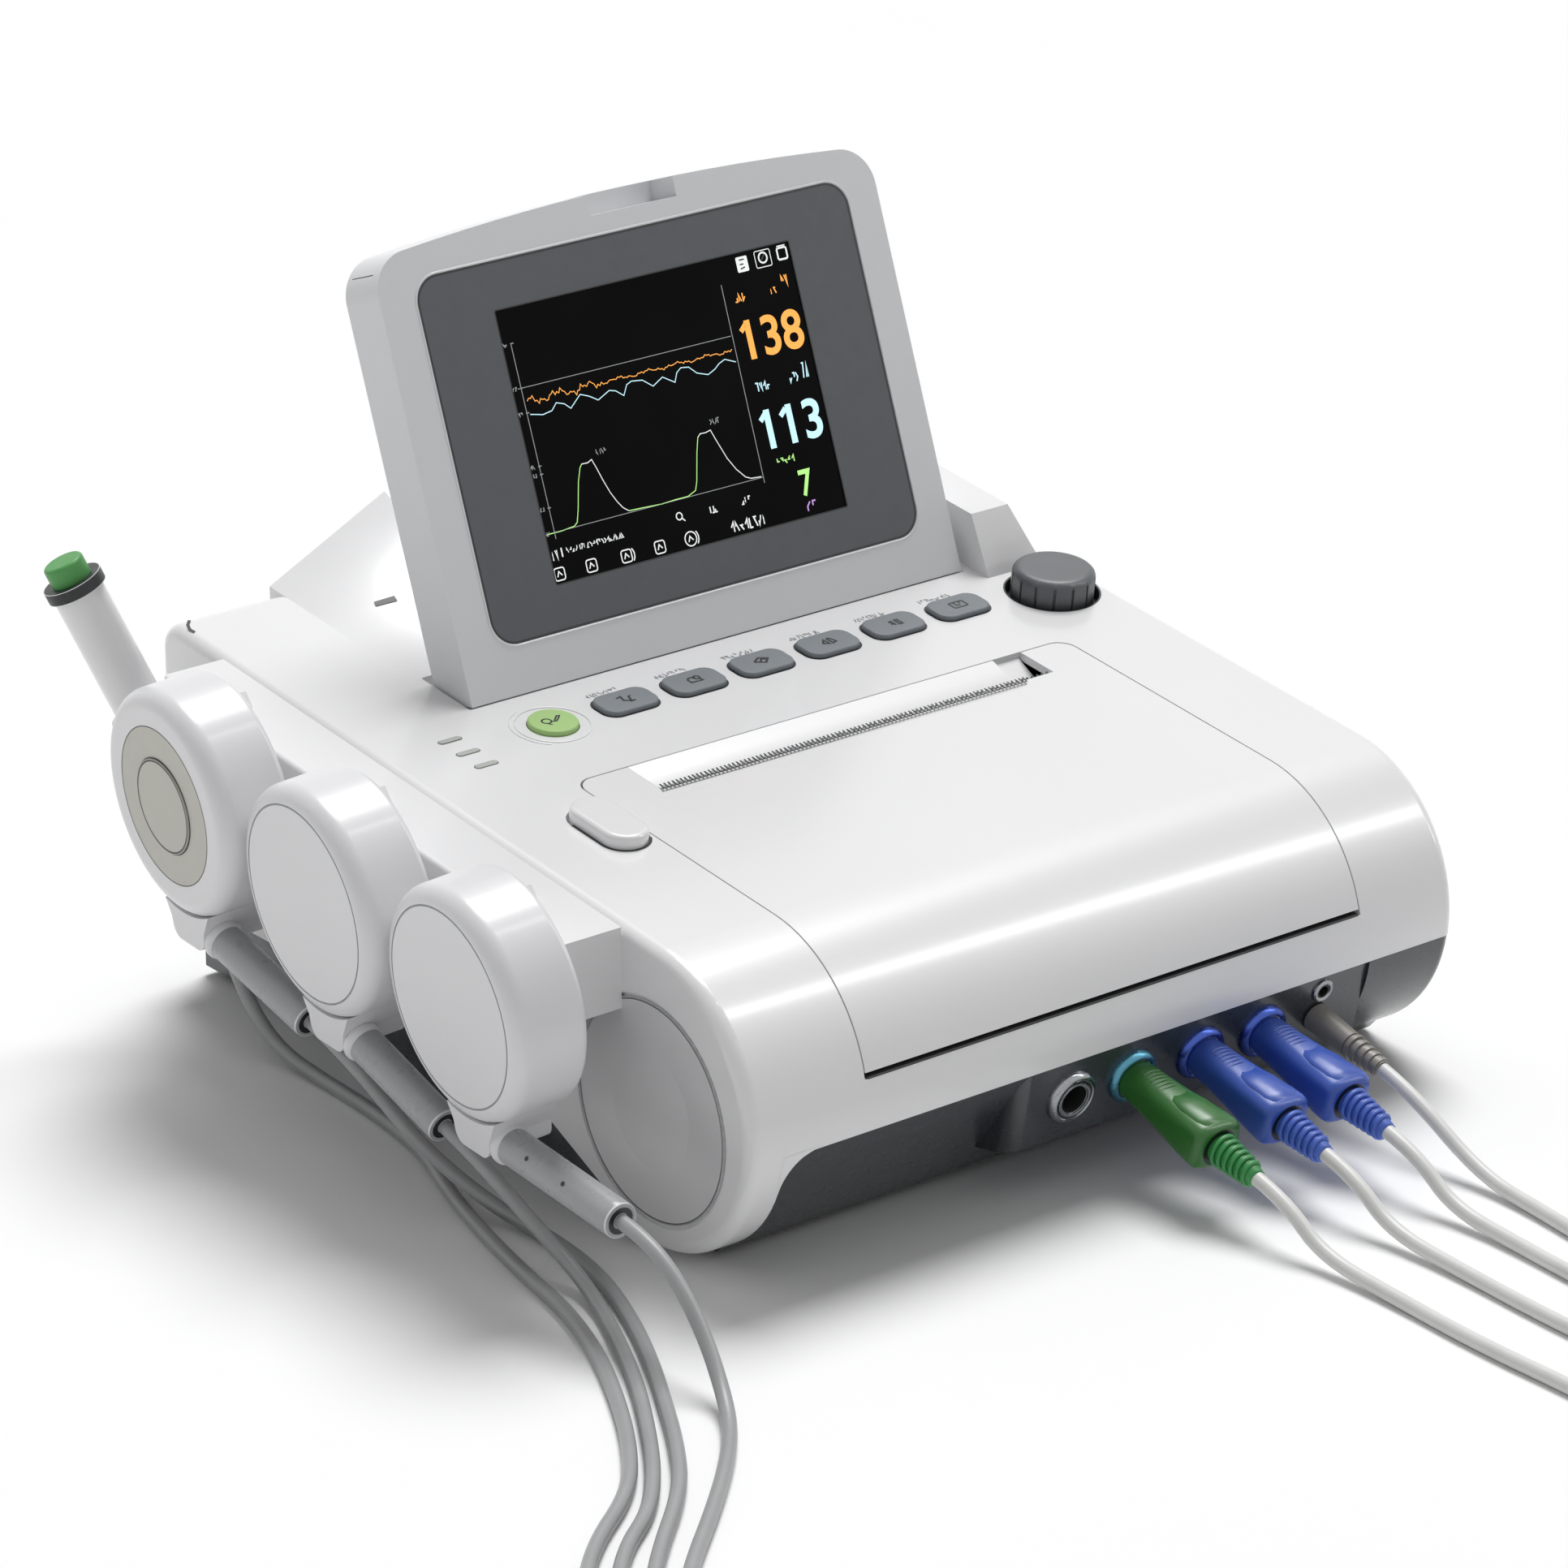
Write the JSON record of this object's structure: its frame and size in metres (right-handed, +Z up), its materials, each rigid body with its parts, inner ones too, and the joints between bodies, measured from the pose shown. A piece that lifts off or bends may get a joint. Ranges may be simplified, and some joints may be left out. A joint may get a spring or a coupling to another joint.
{
  "type": "patient monitor",
  "caption": "Bedside fetal and maternal monitor: wedge base with strip recorder, fold-back display, belt transducers and event marker on a side rack, and corded plugs.",
  "frame": {"origin": "middle of the base on the surface that it stands on", "axes": "+X to the right as the user faces the display, +Y backwards, +Z up"},
  "size_m": [0.4686, 0.6749, 0.2453],
  "materials": {
    "housing": "fine moulded texture, satin",
    "display_shell": "fine moulded texture",
    "base_shell": "fine moulded texture",
    "bezel": "smooth, satin",
    "screen_glass": "dark, glossy",
    "grey_keys": "satin",
    "green_key": "satin",
    "knob_plastic": "satin, fluted",
    "light_lenses": "translucent",
    "roller_rubber": "matt",
    "steel": "turned",
    "gear_plastic": "natural acetal",
    "tear_steel": "fine brushed",
    "tray_plastic": "moulded",
    "paper": "matt paper",
    "ceramic": "ceramic on an aluminium bar",
    "motor_case": "satin black",
    "circuit_board": "solder resist",
    "battery_wrap": "shrink sleeve",
    "supply_case": "folded sheet",
    "speaker_cone": "paper cone and basket",
    "black_plastic": "satin",
    "feet_rubber": "matt",
    "transducer_white": "satin",
    "marker_shell": "satin",
    "marker_green": "satin",
    "socket_steel": "turned",
    "green_plug_shell": "moulded",
    "blue_plug_shell": "moulded",
    "grey_plug_shell": "moulded",
    "cord_sheath": "soft, light grey"
  },
  "bodies": {
    "base": {"ac_inlet": "black_plastic", "battery_pack": "battery_wrap", "blue_plug_1": "blue_plug_shell", "blue_plug_2": "blue_plug_shell", "bottom_cover": "base_shell", "feet": "feet_rubber", "green_plug": "green_plug_shell", "hinge_pins": "steel", "indicator_lights": "light_lenses", "key_board": "circuit_board", "main_board": "circuit_board", "marker_cord": "cord_sheath", "marker_cord_coil": "cord_sheath", "marker_plug": "grey_plug_shell", "paper_pack": "paper", "paper_tray": "tray_plastic", "patient_sockets": "socket_steel", "power_supply": "supply_case", "print_head": "ceramic", "small_jacks": "socket_steel", "speaker": "speaker_cone", "stepper_motor": "motor_case", "toco_cord": "cord_sheath", "toco_cord_coil": "cord_sheath", "top_cover": "housing", "transducer_rack": "housing", "ultrasound_cord_1": "cord_sheath", "ultrasound_cord_1_coil": "cord_sheath", "ultrasound_cord_2": "cord_sheath", "ultrasound_cord_2_coil": "cord_sheath"},
    "door": {"paper_door": "housing", "tear_bar": "tear_steel"},
    "platen": {"platen_roller": "roller_rubber", "platen_shaft": "steel"},
    "pinion": {"motor_pinion": "gear_plastic"},
    "latch": {"door_latch": "housing"},
    "display": {"display_front": "display_shell", "display_rear": "display_shell", "display_bezel": "bezel", "display_screen": "screen_glass", "display_board": "circuit_board"},
    "start_key": {"start_key": "green_key"},
    "knob_push": {"knob_shaft": "steel"},
    "knob_turn": {"knob": "knob_plastic"},
    "toco": {"toco_front": "transducer_white", "toco_rear": "transducer_white"},
    "toco_button": {"toco_button": "transducer_white"},
    "ultrasound_1": {"ultrasound_front_1": "transducer_white", "ultrasound_rear_1": "transducer_white"},
    "ultrasound_2": {"ultrasound_front_2": "transducer_white", "ultrasound_rear_2": "transducer_white"},
    "marker": {"marker_body": "marker_shell"},
    "marker_button": {"marker_button": "marker_green"},
    "key_1": {"key_1": "grey_keys"},
    "key_2": {"key_2": "grey_keys"},
    "key_3": {"key_3": "grey_keys"},
    "key_4": {"key_4": "grey_keys"},
    "key_5": {"key_5": "grey_keys"},
    "key_6": {"key_6": "grey_keys"}
  },
  "joints": [
    {"name": "door_hinge", "type": "hinge", "parent": "base", "child": "door", "pos_m": [0.02785, -0.145, 0.065], "axis": [1, 0, 0], "range_deg": [0, 100]},
    {"name": "platen_spin", "type": "hinge", "parent": "door", "child": "platen", "pos_m": [0.029, -0.041, 0.08878], "axis": [1, 0, 0], "continuous": true},
    {"name": "pinion_spin", "type": "hinge", "parent": "base", "child": "pinion", "pos_m": [0.12, -0.03786, 0.07462], "axis": [1, 0, 0], "continuous": true},
    {"name": "latch_press", "type": "slide", "parent": "base", "child": "latch", "axis": [0, 0.1045, -0.9945], "range_m": [0, 0.002], "stiffness_N_per_m": 600, "springref_m": -0.001},
    {"name": "display_hinge", "type": "hinge", "parent": "base", "child": "display", "pos_m": [0.03125, 0.05887, 0.11786], "axis": [-1, 0, 0], "range_deg": [0, 47]},
    {"name": "start_press", "type": "slide", "parent": "base", "child": "start_key", "axis": [0, 0.1045, -0.9945], "range_m": [0, 0.001], "stiffness_N_per_m": 400, "springref_m": -0.0005},
    {"name": "knob_press", "type": "slide", "parent": "base", "child": "knob_push", "axis": [0, 0.1045, -0.9945], "range_m": [0, 0.0008], "stiffness_N_per_m": 1500, "springref_m": -0.0005},
    {"name": "knob_spin", "type": "hinge", "parent": "knob_push", "child": "knob_turn", "pos_m": [0.1426, 0.0168, 0.10985], "axis": [0, -0.1045, 0.9945], "continuous": true},
    {"name": "toco_pull", "type": "slide", "parent": "base", "child": "toco", "axis": [-0.9938, 0.0695, -0.0872], "range_m": [0, 0.04]},
    {"name": "toco_press", "type": "slide", "parent": "toco", "child": "toco_button", "axis": [0.9938, -0.0695, 0.0872], "range_m": [0, 0.001], "stiffness_N_per_m": 500, "springref_m": -0.0005},
    {"name": "ultrasound_pull_1", "type": "slide", "parent": "base", "child": "ultrasound_1", "axis": [-0.9938, 0.0695, -0.0872], "range_m": [0, 0.04]},
    {"name": "ultrasound_pull_2", "type": "slide", "parent": "base", "child": "ultrasound_2", "axis": [-0.9938, 0.0695, -0.0872], "range_m": [0, 0.04]},
    {"name": "marker_pull", "type": "slide", "parent": "base", "child": "marker", "axis": [-0.3407, 0.2405, 0.9089], "range_m": [0, 0.06]},
    {"name": "marker_press", "type": "slide", "parent": "marker", "child": "marker_button", "axis": [0.3407, -0.2405, -0.9089], "range_m": [0, 0.0015], "stiffness_N_per_m": 500, "springref_m": -0.0005},
    {"name": "key_1_press", "type": "slide", "parent": "base", "child": "key_1", "axis": [0, 0.1045, -0.9945], "range_m": [0, 0.001], "stiffness_N_per_m": 400, "springref_m": -0.0005},
    {"name": "key_2_press", "type": "slide", "parent": "base", "child": "key_2", "axis": [0, 0.1045, -0.9945], "range_m": [0, 0.001], "stiffness_N_per_m": 400, "springref_m": -0.0005},
    {"name": "key_3_press", "type": "slide", "parent": "base", "child": "key_3", "axis": [0, 0.1045, -0.9945], "range_m": [0, 0.001], "stiffness_N_per_m": 400, "springref_m": -0.0005},
    {"name": "key_4_press", "type": "slide", "parent": "base", "child": "key_4", "axis": [0, 0.1045, -0.9945], "range_m": [0, 0.001], "stiffness_N_per_m": 400, "springref_m": -0.0005},
    {"name": "key_5_press", "type": "slide", "parent": "base", "child": "key_5", "axis": [0, 0.1045, -0.9945], "range_m": [0, 0.001], "stiffness_N_per_m": 400, "springref_m": -0.0005},
    {"name": "key_6_press", "type": "slide", "parent": "base", "child": "key_6", "axis": [0, 0.1045, -0.9945], "range_m": [0, 0.001], "stiffness_N_per_m": 400, "springref_m": -0.0005}
  ],
  "couplings": [
    {"joint": "pinion_spin", "follows": "platen_spin", "ratio": -2}
  ]
}
